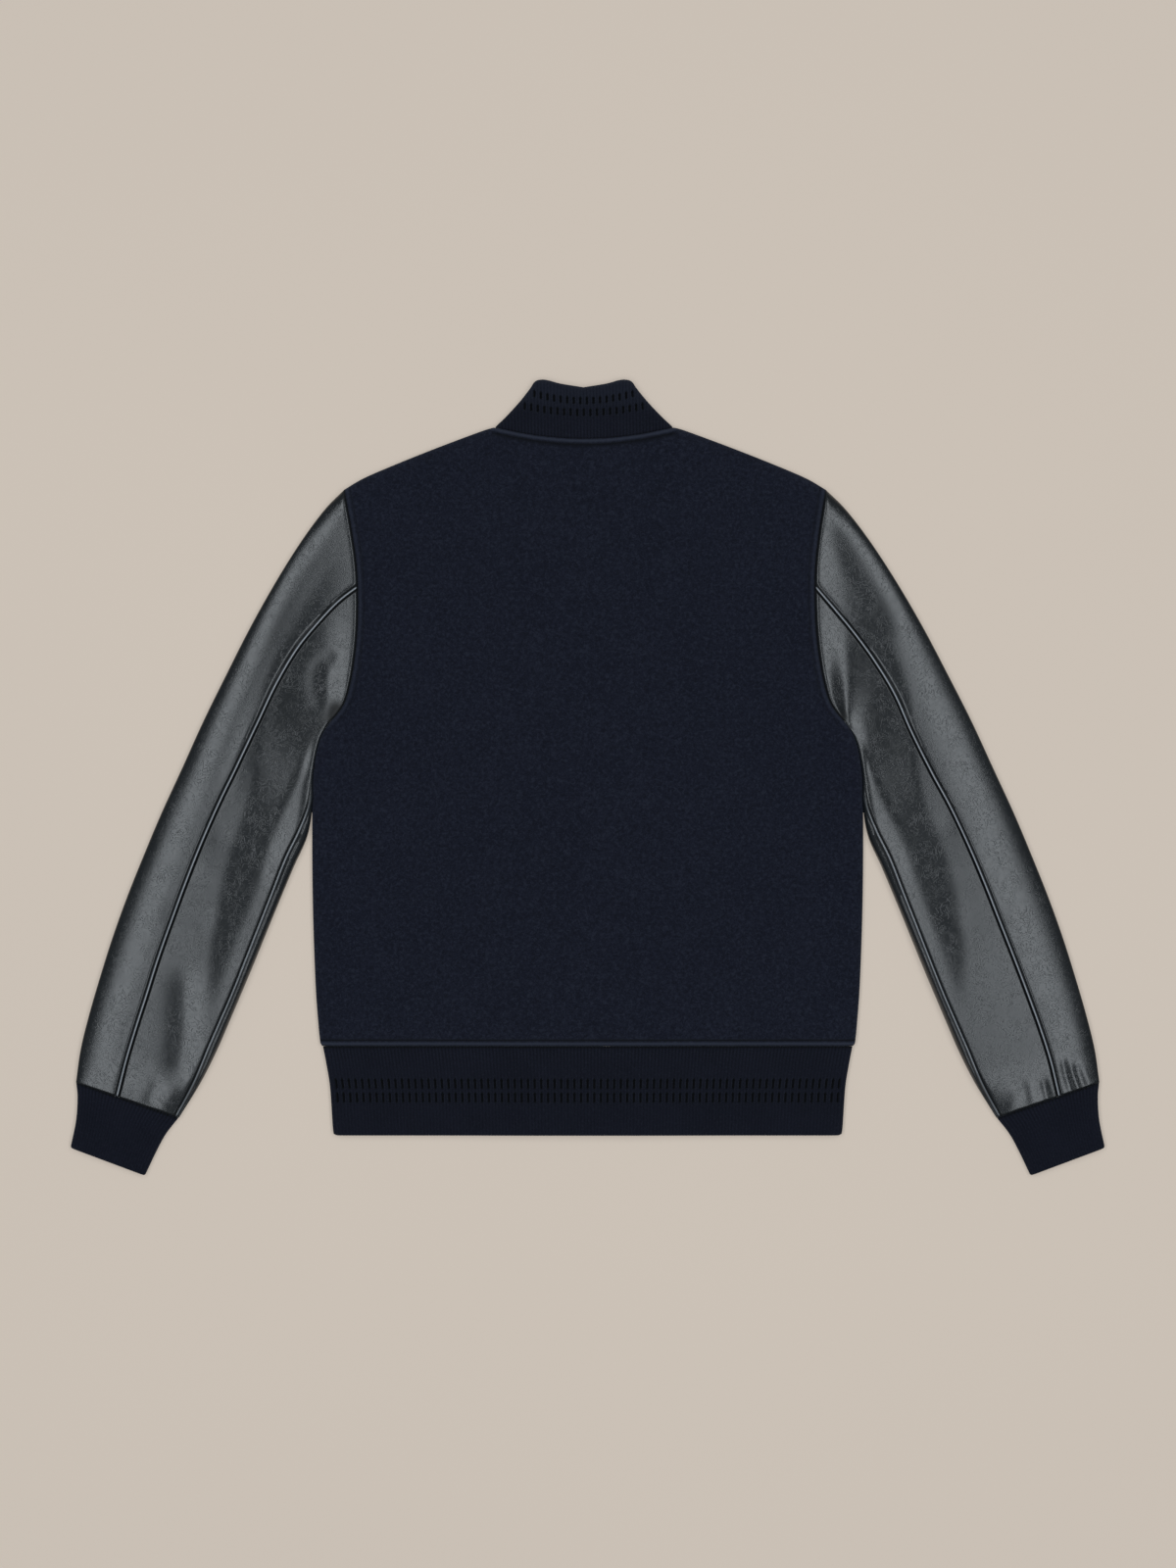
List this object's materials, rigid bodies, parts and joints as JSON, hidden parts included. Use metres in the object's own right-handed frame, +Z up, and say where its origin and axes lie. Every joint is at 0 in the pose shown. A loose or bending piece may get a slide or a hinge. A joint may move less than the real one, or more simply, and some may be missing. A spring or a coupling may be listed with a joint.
{
  "type": "varsity jacket",
  "caption": "Varsity jacket laid flat and face down: wool body, leather sleeves, rib-knit stand collar, cuffs and hem band.",
  "frame": {"origin": "centre of the bounding box in plan, on the surface that the jacket lies on", "axes": "+Z up from the surface, towards the jacket's back; +Y from the hem to the collar; +X towards the wearer's right sleeve"},
  "size_m": [1.002, 0.771, 0.0113],
  "materials": {
    "navy_wool": "matt napped melton wool",
    "charcoal_leather": "satin",
    "navy_rib": "matt rib knit",
    "snap_metal": "satin"
  },
  "bodies": {
    "root": {"back": "navy_wool", "front_left": "navy_wool", "front_right": "navy_wool", "sleeve_top_left": "charcoal_leather", "sleeve_top_right": "charcoal_leather", "sleeve_under_left": "charcoal_leather", "sleeve_under_right": "charcoal_leather", "cuff_left": "navy_rib", "cuff_right": "navy_rib", "hem_back": "navy_rib", "hem_front_left": "navy_rib", "hem_front_right": "navy_rib", "collar_back": "navy_rib", "collar_front_left": "navy_rib", "collar_front_right": "navy_rib", "snap_1": "snap_metal", "snap_2": "snap_metal", "snap_3": "snap_metal", "snap_4": "snap_metal", "snap_5": "snap_metal", "snap_6": "snap_metal", "snap_7": "snap_metal"}
  },
  "joints": []
}
